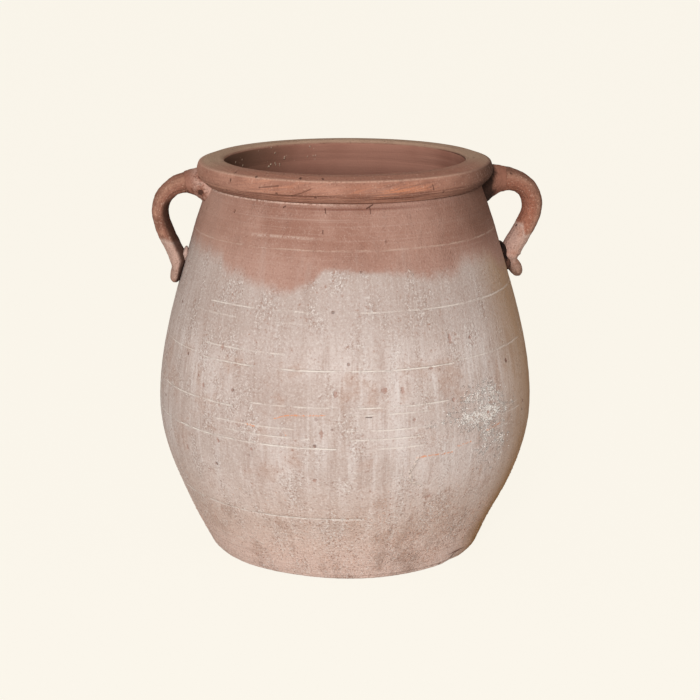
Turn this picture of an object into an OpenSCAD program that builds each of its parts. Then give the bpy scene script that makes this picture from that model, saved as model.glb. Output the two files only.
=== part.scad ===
// Two-handled earthenware storage jar, hand thrown in two halves.
// The floor is a beaten slab. The lower half stands on it, and the upper half is luted to the
// lower one at the belly. A thick coil is laid over the neck's edge as a rim, and two pulled
// handles are pressed on, each with soft clay worked in round its root and under its landing.
// Millimetres, +Z up. The origin is the centre of the foot, and the handles lie along X.

/* [Body] */
// Radius of the flat foot
foot_r = 136; // [112:1:156]
// Radius at the belly, the widest ring
belly_r = 190; // [170:1:215]
// Height of the belly, where the two thrown halves are joined
belly_h = 150; // [125:1:175]
// Radius of the neck, just under the rim
neck_r = 136; // [120:0.5:150]
// Height of the seam between the neck and the rim
neck_h = 373; // [345:1:400]
// How far the wall runs outward for each millimetre of rise, at the foot
foot_flare = 0.5; // [0.25:0.05:0.75]
// How far the wall runs inward for each millimetre of rise, at the neck
neck_lean = 0.2; // [0.05:0.05:0.4]
// How much further the wall is drawn in under the rim, beyond its even curve
neck_draw = 4.5; // [0:0.5:8]
// Radius that rounds the heel, where the foot turns up into the wall
heel_round = 4; // [1:0.5:7]

/* [Walls] */
// Thickness of the floor slab
floor_t = 15; // [11:0.5:20]
// Thickness of the wall where it stands on the floor
foot_wall_t = 16; // [12:0.5:20]
// Thickness of the wall from the belly up to the neck
wall_t = 12; // [9:0.5:15]
// Radius of the cove of smoothed clay inside, between the floor and the wall
cove_r = 20; // [10:1:30]

/* [Joints between the pieces] */
// Depth of the rebate in the floor's edge that seats the lower wall
rebate_d = 3; // [1.5:0.5:5]
// Height of the ridge under the upper wall, and depth of the groove that takes it
ridge_h = 4; // [2:0.5:6]
// Height of the neck's edge that stands up inside the rim
tenon_h = 12; // [8:0.5:14]
// Chamfer on the neck's edge, inside the rim
tenon_chamfer = 3; // [1:0.5:4]

/* [Rim] */
// Height of the rim above its seam
rim_h = 25; // [22:0.5:32]
// How far the rim stands out from the neck
rim_proud = 11.5; // [8:0.5:15]
// How far the rim stands in from the inside of the neck
rim_inset = 1.5; // [0.5:0.5:5]
// Width of the ledge under the rim, at the outer seam
rim_ledge = 2.5; // [1.5:0.5:3.5]
// How far the rim's inner skirt runs down past the seam
skirt_h = 10; // [6:0.5:14]
// Thickness of the skirt's lower edge
skirt_t = 1.2; // [0.8:0.1:2]

/* [Scored rings] */
// Depth of the rings scored round the body while it turned
ring_d = 0.8; // [0.4:0.1:1.5]
// Width of a scored ring
ring_w = 2.4; // [1.2:0.2:4]
// Depth of the deeper ring round the neck
neck_ring_d = 1.4; // [0.5:0.1:2]
// Distance from the seam under the rim down to the neck's ring
neck_ring_drop = 6.5; // [5:0.5:12]

/* [Handles] */
// Distance from the seam under the rim down to the middle of each handle's root
root_drop = 5; // [0:1:14]
// How much higher the left handle's root was set than that
left_root_rise = 4; // [0:0.5:5]
// How much higher the right handle's root was set than that
right_root_rise = 0.5; // [0:0.5:5]
// How far a handle climbs for each millimetre that it runs outward, at its root
root_climb = 0.5; // [0.2:0.05:0.8]
// How full the bend is: higher values make it squarer
bend_fullness = 1.4; // [0.9:0.05:1.6]
// Distance from the seam down to where each handle stands out furthest
crest_drop = 28; // [22:1:38]
// Distance from the seam down to where each handle comes down on the wall
landing_drop = 76; // [68:1:90]
// Distance from the seam down to the end of each tail
tail_drop = 100; // [96:1:115]
// How far the left handle's middle line stands out past the neck
left_reach = 48.5; // [42:0.5:56]
// How far the right handle's middle line stands out past the neck
right_reach = 55; // [47:0.5:62]
// Thickness of the left handle at its bend
left_thick = 17; // [14:0.5:21]
// Thickness of the right handle at its bend
right_thick = 20.5; // [15:0.5:23]
// Width of both handles, across the thickness
strap_w = 27; // [20:1:34]
// How much thicker and wider a handle swells at its root
root_swell = 16; // [4:1:18]
// Thickness of the left tail, pressed flat by the thumb
left_tail_t = 11; // [8:0.5:14]
// Thickness of the right tail, pressed flat by the thumb
right_tail_t = 13.5; // [8:0.5:16]
// How far the end of the left tail flicks away from the wall
left_flick = 0.5; // [0:0.5:4]
// How far the end of the right tail flicks away from the wall
right_flick = 6; // [0:0.5:8]
// Thickness of the clay worked in round a root, at the wall
luting_t = 3.5; // [2:0.5:5]
// Radius of the roll of clay pressed in above a tail, at its middle
roll_r = 7; // [5:0.5:9]
// How far that roll squeezes out past each side of the handle
roll_over = 2.5; // [1:0.5:5]

/* [Hidden] */

$fn = 96;
clay_red = "#a5705c";
clay_pale = "#c2aca1";
clay_soft = "#8f6352";

// Hermite blend from a to b, leaving with the slope m and arriving with the slope n.
function blend(a, b, m, n, t) =
    a * (2 * t^3 - 3 * t^2 + 1) + m * (t^3 - 2 * t^2 + t) + b * (3 * t^2 - 2 * t^3) + n * (t^3 - t^2);
function curve(a, b, m, n, steps) = [for (i = [0 : steps]) blend(a, b, m, n, i / steps)];
// Part of an ellipse round a centre, from one angle to the next.
function arc(centre, rx, ry, from, to, steps) =
    [for (i = [0 : steps]) let (a = from + (to - from) * i / steps) centre + [rx * cos(a), ry * sin(a)]];
arc_steps = 6;

// The jar's outer and inner radius at a height. Its last stretch is drawn in to the neck.
draw_h = 46;
draw_power = 1.4;
function drawn_in(z) = neck_draw * max(0, 1 - (neck_h - z) / draw_h)^draw_power;
function outer_r(z) = z < belly_h
    ? blend(foot_r, belly_r, foot_flare * belly_h, 0, z / belly_h)
    : blend(belly_r, neck_r + neck_draw, 0, -neck_lean * (neck_h - belly_h),
            (z - belly_h) / (neck_h - belly_h)) - drawn_in(z);
function inner_r(z) =
    outer_r(z) - (z < belly_h ? foot_wall_t + (wall_t - foot_wall_t) * z / belly_h : wall_t);
wall_step = 18;
function heights(from, to) = let (steps = max(1, ceil(abs(to - from) / wall_step)))
    [for (i = [0 : steps]) from + (to - from) * i / steps];
function outer_line(from, to) = [for (z = heights(from, to)) [outer_r(z), z]];
function inner_line(from, to) = [for (z = heights(from, to)) [inner_r(z), z]];

// The outer line with rings scored in it at the given heights, while the clay turned.
function scored_line(from, to, rings) = let (stops = concat([from], rings, [to]), last = len(stops) - 2)
    [for (i = [0 : last])
        let (a = stops[i] + (i == 0 ? 0 : ring_w / 2), b = stops[i + 1] - (i == last ? 0 : ring_w / 2))
        each concat(i == 0 ? [] : [[outer_r(stops[i]) - ring_d, stops[i]]], outer_line(a, b))];
lower_ring_shares = [0.5];
upper_ring_shares = [0.06, 0.16, 0.33, 0.52, 0.81];
lower_rings = [for (share = lower_ring_shares) share * belly_h];
upper_rings = [for (share = upper_ring_shares) belly_h + share * (neck_h - belly_h)];

// The floor slab: a rounded heel outside, and a rebate round its upper edge for the wall.
seat_h = floor_t - rebate_d;
plug_r = outer_r(floor_t) - foot_wall_t;
heel_line = [for (i = [0 : arc_steps])
    let (a = 90 * i / arc_steps, z = heel_round * (1 - cos(a)))
    [outer_r(z) - heel_round * (1 - sin(a)), z]];
module floor_slab() {
    color(clay_pale)
    rotate_extrude()
    polygon(concat([[0, 0]], heel_line, outer_line(heel_round, seat_h),
                   [[plug_r, seat_h], [plug_r, floor_t], [0, floor_t]]));
}

// The lower half of the wall, with the cove at its foot and the V groove in its top.
cove_tilt = atan((inner_r(floor_t + cove_r) - inner_r(floor_t)) / cove_r);
cove_end_h = floor_t + cove_r * (1 - sin(cove_tilt));
cove_centre = [inner_r(cove_end_h) - cove_r * cos(cove_tilt), floor_t + cove_r];
joint_mid_r = belly_r - wall_t / 2;
joint_half = wall_t / 3;
joint_line = [[joint_mid_r + joint_half, belly_h], [joint_mid_r, belly_h - ridge_h],
              [joint_mid_r - joint_half, belly_h]];
module lower_wall() {
    color(clay_pale)
    rotate_extrude()
    polygon(concat(scored_line(seat_h, belly_h, lower_rings), joint_line,
                   inner_line(belly_h, cove_end_h),
                   arc(cove_centre, cove_r, cove_r, -cove_tilt, -90, arc_steps),
                   [[plug_r, floor_t], [plug_r, seat_h]]));
}

// The upper half of the wall, from the ridge at the belly to the edge inside the rim. A deeper
// ring runs round the neck below the seam.
neck_in_r = neck_r - wall_t;
neck_ring_h = neck_h - neck_ring_drop;
neck_ring = [[outer_r(neck_ring_h - ring_w), neck_ring_h - ring_w],
             [outer_r(neck_ring_h) - neck_ring_d, neck_ring_h],
             [outer_r(neck_ring_h + ring_w), neck_ring_h + ring_w]];
upper_line = concat(scored_line(belly_h, neck_ring_h - 2 * ring_w, upper_rings), neck_ring,
                    [[neck_r, neck_h]]);
tenon_top = neck_h + tenon_h;
tenon_pinch = 3;
tenon_in_r = neck_in_r + tenon_pinch;
tenon_line = [[neck_r, neck_h], [neck_r, tenon_top - tenon_chamfer], [neck_r - tenon_chamfer, tenon_top],
              [tenon_in_r + tenon_chamfer, tenon_top], [tenon_in_r, tenon_top - tenon_chamfer],
              [inner_r(neck_h - skirt_h), neck_h - skirt_h]];
module upper_wall() {
    color(clay_pale)
    rotate_extrude()
    polygon(concat([joint_line[2], joint_line[1], joint_line[0]], upper_line, tenon_line,
                   inner_line(neck_h - skirt_h - wall_step / 3, belly_h)));
}

// The rim: a coil laid over the neck's edge, with a slot that the edge stands in. It is level on top,
// turned over sharply into the mouth and roundly outside, and drawn in to a ledge at the seam.
rim_top = neck_h + rim_h;
mouth_r = neck_in_r - rim_inset;
rim_r = neck_r + rim_proud;
crest_r = (mouth_r + rim_r) / 2;
ledge_r = neck_r + rim_ledge;
outer_round_share = 0.52;
lip_round_share = 0.16;
under_pull = 1.6;
inner_pull = 0.65;
outer_round = rim_h * outer_round_share;
lip_round = rim_h * lip_round_share;
rim_steps = 8;
rim_outside = concat(
    arc([crest_r, rim_top - outer_round], rim_r - crest_r, outer_round, 90, 0, rim_steps),
    curve([rim_r, rim_top - outer_round], [ledge_r, neck_h], [0, -outer_round],
          [rim_ledge - rim_proud, rim_ledge - rim_proud] * under_pull, rim_steps));
rim_inside = concat(
    curve([inner_r(neck_h - skirt_h) - skirt_t, neck_h - skirt_h], [mouth_r, rim_top - lip_round],
          [0, rim_h / 2], [0, rim_h * inner_pull], rim_steps),
    arc([mouth_r + lip_round, rim_top - lip_round], lip_round, lip_round, 180, 90, rim_steps));
module rim_coil() {
    color(clay_red)
    rotate_extrude()
    polygon(concat(rim_inside, rim_outside, tenon_line));
}

// The jar filled solid, which the handles and their clay are fitted against.
module jar_form() {
    rotate_extrude($fn = 4 * $fn)
    polygon(concat([[0, belly_h]], upper_line,
                   [for (i = [len(rim_outside) - 1 : -1 : 0]) rim_outside[i]], [[0, rim_top]]));
}

// A handle's middle line, as [distance from the axis, height]: out of the neck and upward, over the
// bend, down to the wall, and then along the wall as a tail that flicks out at its end.
root_h = neck_h - root_drop;
crest_h = neck_h - crest_drop;
landing_h = neck_h - landing_drop;
tail_h = neck_h - tail_drop;
root_bite = 6;
landing_bite = 1;
lean_in = 0.45;
drop_pull = 0.8;
tail_hug = 0.2;
root_steps = 16;
drop_steps = 12;
tail_steps = 12;
function wall_slope(z) = (outer_r(z + 1) - outer_r(z - 1)) / 2;
function handle_line(reach, thick, tail_t, flick, rise) = let (
        pull = (reach + root_bite) * bend_fullness,
        drop = crest_h - landing_h,
        run = landing_h - tail_h,
        root = [neck_r - root_bite, root_h + rise - root_bite * root_climb],
        crest = [neck_r + reach, crest_h],
        landing = [outer_r(landing_h) + thick / 2 - landing_bite, landing_h],
        tip = [outer_r(tail_h) + tail_t / 2 - landing_bite + flick, tail_h],
        onto_wall = [(landing[0] - crest[0]) * lean_in, -drop * drop_pull],
        off_wall = [-wall_slope(landing_h) * run * tail_hug, -run])
    concat(
        curve(root, crest, [pull, pull * root_climb], [0, -pull], root_steps),
        [for (i = [1 : drop_steps]) blend(crest, landing, [0, -drop], onto_wall, i / drop_steps)],
        [for (i = [1 : tail_steps])
            blend(landing, tip, off_wall, [flick - wall_slope(tail_h) * run, -run], i / tail_steps)]);

// Unit direction of a line of points at its point i, and the direction square to it.
function along(line, i) = let (
        last = len(line) - 1,
        d = line[min(i + 1, last)] - line[max(i - 1, 0)])
    d / norm(d);
function across(line, i) = let (d = along(line, i)) [-d[1], d[0]];

// Thickness and width at point i: swollen at the root, even over the bend, pressed thin where it
// comes down on the wall, and drawn in round at the very end.
fade_steps = root_steps * 5 / 8;
fade_power = 1.5;
press_share = 0.4;
round_share = 0.35;
tip_share = 0.06;
function root_share(i) = max(0, 1 - i / fade_steps)^fade_power;
function tail_share(i) = max(0, (i - root_steps - drop_steps) / tail_steps);
function pressed(i) = let (t = min(1, tail_share(i) / press_share)) t * t * (3 - 2 * t);
function end_round(i) =
    sqrt(max(tip_share, 1 - (max(0, tail_share(i) - 1 + round_share) / round_share)^2));
function strap_thick(thick, tail_t, i) =
    (thick + root_swell * root_share(i) + (tail_t - thick) * pressed(i)) * end_round(i);
function strap_wide(i) = (strap_w + root_swell * root_share(i)) * end_round(i);

// One ring of a handle's skin with extra clay round it: thickness in the plane of the middle line,
// width square to that plane.
ring_sides = 20;
function skin_ring(line, i, thick, tail_t, extra) = [for (k = [0 : ring_sides - 1]) let (
        a = 360 * k / ring_sides,
        in_plane = (strap_thick(thick, tail_t, i) / 2 + extra) * cos(a),
        sideways = (strap_wide(i) / 2 + extra) * sin(a),
        p = line[i] + across(line, i) * in_plane)
    [p[0], sideways, p[1]]];
function side_faces(first, next) = [for (k = [0 : ring_sides - 1]) let (n = (k + 1) % ring_sides)
    each [[first + k, first + n, next + k], [first + n, next + n, next + k]]];
function tube_faces(first, rings) =
    [for (i = [0 : rings - 2]) each side_faces(first + i * ring_sides, first + (i + 1) * ring_sides)];
function flipped(faces) = [for (f = faces) [f[0], f[2], f[1]]];

module strap(reach, thick, tail_t, flick, rise) {
    line = handle_line(reach, thick, tail_t, flick, rise);
    rings = len(line);
    polyhedron(
        [for (i = [0 : rings - 1]) each skin_ring(line, i, thick, tail_t, 0)],
        concat([[for (k = [ring_sides - 1 : -1 : 0]) k]], tube_faces(0, rings),
               [[for (k = [0 : ring_sides - 1]) (rings - 1) * ring_sides + k]]));
}

// Clay worked in round a root: a sleeve that fits the strap inside and thins out along it.
luting_rings = 7;
luting_edge = 0.6;
luting_power = 1.3;
function sleeve_t(i) = luting_edge + luting_t * (1 - i / (luting_rings - 1))^luting_power;
module root_sleeve(reach, thick, tail_t, flick, rise) {
    line = handle_line(reach, thick, tail_t, flick, rise);
    outer = luting_rings * ring_sides;
    last = outer - ring_sides;
    points = concat(
        [for (i = [0 : luting_rings - 1]) each skin_ring(line, i, thick, tail_t, 0)],
        [for (i = [0 : luting_rings - 1]) each skin_ring(line, i, thick, tail_t, sleeve_t(i))]);
    polyhedron(points, concat(flipped(tube_faces(0, luting_rings)), tube_faces(outer, luting_rings),
                              flipped(side_faces(outer, 0)), side_faces(outer + last, last)));
}

module handle(reach, thick, tail_t, flick, rise) {
    color(clay_red)
    difference() {
        strap(reach, thick, tail_t, flick, rise);
        jar_form();
    }
}
module root_luting(reach, thick, tail_t, flick, rise) {
    color(clay_soft)
    difference() {
        root_sleeve(reach, thick, tail_t, flick, rise);
        jar_form();
    }
}
// Clay pressed in above a tail: a spindle in the crotch between the strap and the wall, which
// squeezes out a little at both sides.
roll_steps = 10;
roll_rise = 3;
module tail_luting(reach, thick, tail_t, flick, rise) {
    roll_h = landing_h + roll_rise;
    color(clay_soft)
    difference() {
        translate([outer_r(roll_h) + roll_r / 2, 0, roll_h])
        rotate([90, 0, 0])
        rotate_extrude()
        polygon(arc([0, 0], roll_r, strap_w / 2 + roll_over, -90, 90, roll_steps));
        strap(reach, thick, tail_t, flick, rise);
        jar_form();
    }
}
module on_left() {
    rotate([0, 0, 180]) children();
}

floor_slab();
lower_wall();
upper_wall();
rim_coil();
on_left() handle(left_reach, left_thick, left_tail_t, left_flick, left_root_rise);  // left_handle
handle(right_reach, right_thick, right_tail_t, right_flick, right_root_rise);  // right_handle
on_left() root_luting(left_reach, left_thick, left_tail_t, left_flick, left_root_rise);  // left_root_luting
root_luting(right_reach, right_thick, right_tail_t, right_flick, right_root_rise);  // right_root_luting
on_left() tail_luting(left_reach, left_thick, left_tail_t, left_flick, left_root_rise);  // left_tail_luting
tail_luting(right_reach, right_thick, right_tail_t, right_flick, right_root_rise);  // right_tail_luting
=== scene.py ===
import math
import bpy
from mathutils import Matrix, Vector


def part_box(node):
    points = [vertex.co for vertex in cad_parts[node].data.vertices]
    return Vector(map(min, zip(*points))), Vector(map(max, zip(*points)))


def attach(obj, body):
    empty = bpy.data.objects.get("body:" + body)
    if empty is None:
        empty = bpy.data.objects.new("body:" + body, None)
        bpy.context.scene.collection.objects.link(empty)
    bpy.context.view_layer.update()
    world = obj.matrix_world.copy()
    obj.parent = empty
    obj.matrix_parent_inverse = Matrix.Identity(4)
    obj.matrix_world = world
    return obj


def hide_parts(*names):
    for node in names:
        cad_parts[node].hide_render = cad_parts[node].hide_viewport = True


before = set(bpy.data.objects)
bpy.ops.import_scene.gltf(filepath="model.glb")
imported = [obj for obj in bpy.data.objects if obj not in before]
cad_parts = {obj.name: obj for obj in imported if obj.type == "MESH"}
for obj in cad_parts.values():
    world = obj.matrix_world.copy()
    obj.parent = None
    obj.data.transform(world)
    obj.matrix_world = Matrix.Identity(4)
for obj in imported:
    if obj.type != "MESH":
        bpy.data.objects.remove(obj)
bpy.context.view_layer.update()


# The foot is a slab of red earthenware, beaten flat and turned over at the heel. The thrown wall
# stands in a rebate round its upper edge. It is scuffed and chipped where the jar was dragged.
wall_low, wall_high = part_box("lower_wall")
rim_low, rim_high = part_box("rim_coil")
belly_r = wall_high.x
belly_h = wall_high.z
seat_h = wall_low.z
floor_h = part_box("floor_slab")[1].z
rim_h = 0.025
seam_h = rim_high.z - rim_h
foot_r = 0.136
neck_r = 0.136
foot_flare = 0.5
neck_lean = 0.2
neck_draw = 0.0045
draw_h = 0.046
foot_wall_t = 0.016
wall_t = 0.012
heel_round = 0.004
heel_turns = 6
shown_step = 0.0019
hidden_step = 0.009
turn_segments = 540
foot_drift = 0.0022
heel_wear = 0.0016
foot_spread = 0.003
rim_tilt = 0.0004


def blend(a, b, leaving, arriving, t):
    """Runs smoothly from a to b with a given slope at each end."""
    start = a * (2 * t**3 - 3 * t**2 + 1) + leaving * (t**3 - 2 * t**2 + t)
    return start + b * (3 * t**2 - 2 * t**3) + arriving * (t**3 - t**2)


def outer_r(z):
    """Radius of the jar's skin at a height."""
    if z < belly_h:
        return blend(foot_r, belly_r, foot_flare * belly_h, 0, z / belly_h)
    rise = seam_h - belly_h
    even = blend(belly_r, neck_r + neck_draw, 0, -neck_lean * rise, (z - belly_h) / rise)
    return even - neck_draw * max(0.0, 1 - (seam_h - z) / draw_h) ** 1.4


def inner_r(z):
    """Radius of the jar's inner face at a height."""
    return outer_r(z) - wall_t - (foot_wall_t - wall_t) * max(0, 1 - z / belly_h)


def wall_line(start, end, step, radius=outer_r):
    """Points up or down the wall between two heights, without the last."""
    count = max(1, round(abs(end - start) / step))
    heights = [start + (end - start) * i / count for i in range(count)]
    return [(radius(z), z) for z in heights]


def skin_line(start, end):
    """Points up the jar's skin, set closer at each scored ring, without the last."""
    marks = sorted({height / 1000 for height, *_ in scored_rings if start + 0.002 < height / 1000 < end - 0.002})
    points = []
    for low, high in zip([start] + marks, marks + [end]):
        near = 0.001 if low in marks else 0.0
        far = 0.001 if high in marks else 0.0
        if near:
            points.append((outer_r(low), low))
        if high - far > low + near:
            points += wall_line(low + near, high - far, shown_step)
        if far:
            points.append((outer_r(high - far), high - far))
    return points


def straight(points, step):
    """A bent line divided into short steps, without its last point."""
    divided = []
    for (ra, za), (rb, zb) in zip(points, points[1:]):
        count = max(1, round(math.hypot(rb - ra, zb - za) / step))
        divided += [(ra + (rb - ra) * i / count, za + (zb - za) * i / count) for i in range(count)]
    return divided


class Wire:
    """A socket that takes part in sums, in a shader and in a geometry tree alike."""

    def __init__(self, tree, socket):
        self.tree = tree
        self.socket = socket

    def node(self, kind, settings, sockets, out=0):
        """Adds a node: its settings come first, then the values and links of its sockets."""
        made = self.tree.nodes.new(kind)
        for name, value in settings.items():
            if name == "stops":
                ramp = made.color_ramp
                while len(ramp.elements) < len(value):
                    ramp.elements.new(1.0)
                for stop, (place, tone) in zip(ramp.elements, value):
                    stop.position = place
                    stop.color = tone
            elif name == "stop_blend":
                made.color_ramp.interpolation = value
            else:
                setattr(made, name, value)
        for name, value in sockets.items():
            if isinstance(value, Wire):
                self.tree.links.new(value.socket, made.inputs[name])
            else:
                made.inputs[name].default_value = value
        return Wire(self.tree, made.outputs[out])

    def maths(self, operation, *values):
        return self.node("ShaderNodeMath", {"operation": operation}, dict(enumerate(values)))

    def sum(self, operation, left, right):
        if "VECTOR" not in (getattr(self.socket, "type", ""),):
            return self.maths(operation, left, right)
        spread = [side if isinstance(side, (Wire, tuple)) else (side,) * 3 for side in (left, right)]
        return self.node("ShaderNodeVectorMath", {"operation": operation}, dict(enumerate(spread)))

    def __add__(self, other):
        return self.sum("ADD", self, other)

    def __sub__(self, other):
        return self.sum("SUBTRACT", self, other)

    def __rsub__(self, other):
        return self.sum("SUBTRACT", other, self)

    def __mul__(self, other):
        return self.sum("MULTIPLY", self, other)

    def __truediv__(self, other):
        return self.sum("DIVIDE", self, other)

    __radd__ = __add__
    __rmul__ = __mul__

    def along(self, axis):
        """This vector's x, y or z."""
        return self.node("ShaderNodeSeparateXYZ", {}, {0: self}, axis)

    def scaled(self, size):
        """This vector, longer or shorter by a number that may be a wire."""
        return self.node("ShaderNodeVectorMath", {"operation": "SCALE"}, {0: self, "Scale": size})

    def rise(self, low, high):
        """Goes smoothly from 0 to 1 while the value goes from low to high."""
        limits = {"Value": self, "From Min": low, "From Max": high}
        return self.node("ShaderNodeMapRange", {"interpolation_type": "SMOOTHSTEP"}, limits)

    def hump(self, centre, width):
        """A smooth hump of height 1 round a value."""
        apart = (self - centre) / width
        return self.maths("EXPONENT", apart * apart * -1.0)

    def cloud(self, scale, detail=2.0, roughness=0.5, distortion=0.0, out="Fac"):
        """Cloudy noise from 0 to 1."""
        sockets = {"Vector": self, "Scale": scale, "Detail": detail, "Roughness": roughness,
                   "Distortion": distortion}
        return self.node("ShaderNodeTexNoise", {}, sockets, out)

    def cells(self, scale, out):
        """Distance to the nearest of many scattered points, or that point's own colour."""
        return self.node("ShaderNodeTexVoronoi", {}, {"Vector": self, "Scale": scale}, out)

    def tint(self, under, amount):
        """This colour laid over another."""
        settings = {"data_type": "RGBA"}
        return self.node("ShaderNodeMix", settings, {0: amount, 6: under, 7: self}, 2)


def lay(colour, under, amount):
    """A colour laid over a wired one by an amount."""
    return under.node("ShaderNodeMix", {"data_type": "RGBA"}, {0: amount, 6: under, 7: colour}, 2)


def clay(red, green, blue):
    """A colour from its values on screen, 0 to 255."""
    channels = [value / 255 for value in (red, green, blue)]
    return tuple(c / 12.92 if c < 0.04045 else ((c + 0.055) / 1.055) ** 2.4 for c in channels) + (1,)


even_r = 0.165


def around(p):
    """A place by its angle from the front, its height, and where it lies on an even cylinder."""
    x, y, z = p.along(0), p.along(1), p.along(2)
    radius = p.maths("SQRT", x * x + y * y)
    angle = p.maths("ARCTAN2", x, y * -1.0)
    even = p.node("ShaderNodeCombineXYZ", {}, {0: x / radius * even_r, 1: y / radius * even_r, 2: z})
    return angle, z, even


# The rings that a stick scored in the turning clay: height in millimetres, the degrees from the
# front between which each still shows, and how strongly.
scored_rings = [
    (38, -57, -42, 0.5), (76, -110, 0, 0.9), (151.6, -150, -9, 1.0), (151.6, -1, 18, 0.6), (151.2, 42, 52, 0.5),
    (160.5, -45, -16, 0.6), (160.5, -4, 18, 0.6), (162.5, 49, 58, 0.4), (168.8, -46, -22, 0.5),
    (168.8, -4, 20, 0.6), (168.8, 49, 59, 0.4), (183.5, -120, -40, 0.8), (183.5, -3, 20, 0.7),
    (189.8, -34, -11, 0.6), (189.8, -4, 26, 0.8), (223.3, -54, 28, 0.9), (225.5, 29, 150, 0.5),
    (225.5, -120, -59, 0.5), (236.8, -54, -23, 0.6), (265, -62, -44, 0.4), (265, -25, -17, 0.4),
    (275.5, -54, -18, 0.7), (275.5, -4, 150, 0.6), (330.5, -180, 150, 0.42),
]


def rings(angle, z, even):
    """The scored rings, each between its two ends and broken where the stick skipped."""
    level = z * 1000 + (even.cloud(11.0, 1.0) - 0.5) * 1.6 + (even.cloud(260.0, 1.0) - 0.5) * 0.7
    bearing = angle * math.degrees(1) + (even.cloud(70.0, 0.0) - 0.5) * 8.0
    total = None
    for height, start, end, strength in scored_rings:
        apart = level.maths("ABSOLUTE", level - height)
        shown = bearing.maths("COMPARE", bearing, (start + end) / 2, (end - start) / 2 + 1)
        ring = (1.0 - apart.rise(0.3, 1.25)) * shown * strength
        total = ring if total is None else total.maths("MAXIMUM", total, ring)
    skipped = (even * (45.0, 45.0, 230.0)).cloud(1.0, 3.0, 0.7).rise(0.36, 0.56)
    return total * skipped


def strokes(angle, z, lines):
    """Thin marks, each from one place to another in degrees and millimetres, and its half width."""
    spot = angle.node("ShaderNodeCombineXYZ", {}, {0: angle * (even_r * 1000), 1: z * 1000})
    total = None
    for start, low, end, high, wide in lines:
        first = Vector((math.radians(start) * even_r * 1000, low, 0))
        run = Vector((math.radians(end) * even_r * 1000, high, 0)) - first
        away = spot - tuple(first)
        dot = {0: away, 1: tuple(run / run.length_squared)}
        share = away.node("ShaderNodeVectorMath", {"operation": "DOT_PRODUCT"}, dot, 1)
        share = share.maths("MINIMUM", share.maths("MAXIMUM", share, 0.0), 1.0)
        apart = away - share.node("ShaderNodeCombineXYZ", {}, {0: share * run.x, 1: share * run.y})
        mark = 1.0 - apart.node("ShaderNodeVectorMath", {"operation": "LENGTH"}, {0: apart}, 1).rise(wide * 0.4, wide)
        total = mark if total is None else total.maths("MAXIMUM", total, mark)
    return total


# Where something orange scraped the belly, where a loop of clay was pressed up under the scrape, and
# where the clay cracked as it dried.
scrapes = [(-26, 177.3, -22, 181.7, 0.8), (-22, 181.7, -11, 183.6, 0.8), (15.6, 139, 18, 140, 1.6),
           (18, 140, 27, 139.6, 1.0), (29, 144.5, 34, 146, 1.1), (40, 152, 47, 155, 1.1),
           (-35, 169, -32, 168, 0.9), (-22.5, 166, -22.3, 162, 0.9)]
pressed_loop = [(16.2, 140, 13.6, 126, 1.8), (13.6, 126, 14.4, 115, 2.0), (14.4, 115, 17.4, 110, 1.8),
                (-41, 44, -36, 37, 1.6), (17, 312, 18.5, 307, 0.9)]
cracks = [(-29.8, 367.6, -29, 368.8, 0.7), (-12.9, 368.4, -12.7, 364.4, 0.6), (-13.4, 349, -13.3, 345.5, 0.5),
          (3.2, 368.2, 5.6, 371.4, 0.7), (4.4, 369, 4.6, 363.5, 0.5), (53.2, 212.6, 53.6, 211.4, 1.9),
          (0.6, 181.6, 2.2, 181.2, 0.5), (62.4, 156, 62.6, 155, 1.0), (44, 5, 47, 10, 1.8), (38, 2, 39, 3.5, 1.0)]


def pits(even, scale, radius, share):
    """Round pits of about one radius, in a share of the scattered cells."""
    kept = 1.0 - even.cells(scale, "Color").along(0).rise(share - 0.02, share)
    return (1.0 - even.cells(scale, "Distance").rise(radius * scale * 0.4, radius * scale)) * kept


# Deeper pits and chips: degrees from the front, height, width and drop in millimetres.
deep_pits = [
    (6, 206, 3.4, 4), (11.5, 205, 2.6, 4.6), (14.6, 176.5, 2, 2), (21, 222, 2, 2.2), (29, 246, 2.4, 6.5),
    (37, 243, 2, 3), (53.4, 212, 1.7, 1.8), (20.7, 96.5, 4.2, 2), (41, 170, 3, 2.8), (28, 190, 2, 4.4),
    (61, 152, 1.6, 2.2), (-22, 66, 2.6, 1.4), (-12, 166, 2.4, 5.5), (-45, 147, 1.6, 3.6),
    (-8, 203, 2.8, 4.4), (-38, 348, 1.6, 1.6), (-33, 146, 1.8, 3), (-14, 120, 2.4, 2.4), (-52, 196, 2.2, 4),
    (-46, 236, 2.4, 3.4), (-60, 128, 2, 4),
]


def named_pits(even):
    """The deeper pits and chips, with crumbled edges."""
    wander = {0: even.cloud(330.0, 2.0, out="Color"), 1: (0.5, 0.5, 0.5)}
    crumbled = even + even.node("ShaderNodeVectorMath", {"operation": "SUBTRACT"}, wander).scaled(0.0044)
    total = None
    for bearing, height, wide, tall in deep_pits:
        turn = math.radians(bearing)
        centre = (math.sin(turn) * even_r, -math.cos(turn) * even_r, height / 1000)
        apart = (crumbled - centre) * (1000 / wide, 1000 / wide, 1000 / tall)
        pit = 1.0 - apart.node("ShaderNodeVectorMath", {"operation": "LENGTH"}, {0: apart}, 1).rise(0.2, 1.0)
        total = pit if total is None else total.maths("MAXIMUM", total, pit)
    return total


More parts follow.
